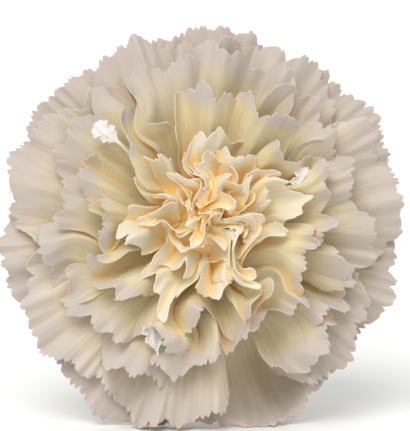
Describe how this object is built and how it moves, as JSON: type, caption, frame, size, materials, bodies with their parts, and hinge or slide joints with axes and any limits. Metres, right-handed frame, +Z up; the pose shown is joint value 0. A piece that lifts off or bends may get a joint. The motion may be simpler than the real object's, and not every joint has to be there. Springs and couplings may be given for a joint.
{
  "type": "carnation",
  "caption": "Single cut carnation lying on its side: a full double bloom of toothed, crumpled petals on a short leafy stem.",
  "frame": {"origin": "on the surface the flower lies on, under the middle of its bounding box", "axes": "+Z up from the surface, -Y the way the bloom faces, +Y along the stem to its cut end"},
  "size_m": [0.0762, 0.1828, 0.0741],
  "materials": {
    "petal": "matte",
    "calyx": "matte",
    "stem": "matte",
    "leaf": "matte"
  },
  "bodies": {
    "root": {"bloom": "petal", "calyx": "calyx", "bract_1": "calyx", "bract_2": "calyx", "bract_3": "calyx", "bract_4": "calyx", "stem": "stem", "leaf_pair_upper": "leaf", "leaf_pair_lower": "leaf"}
  },
  "joints": []
}
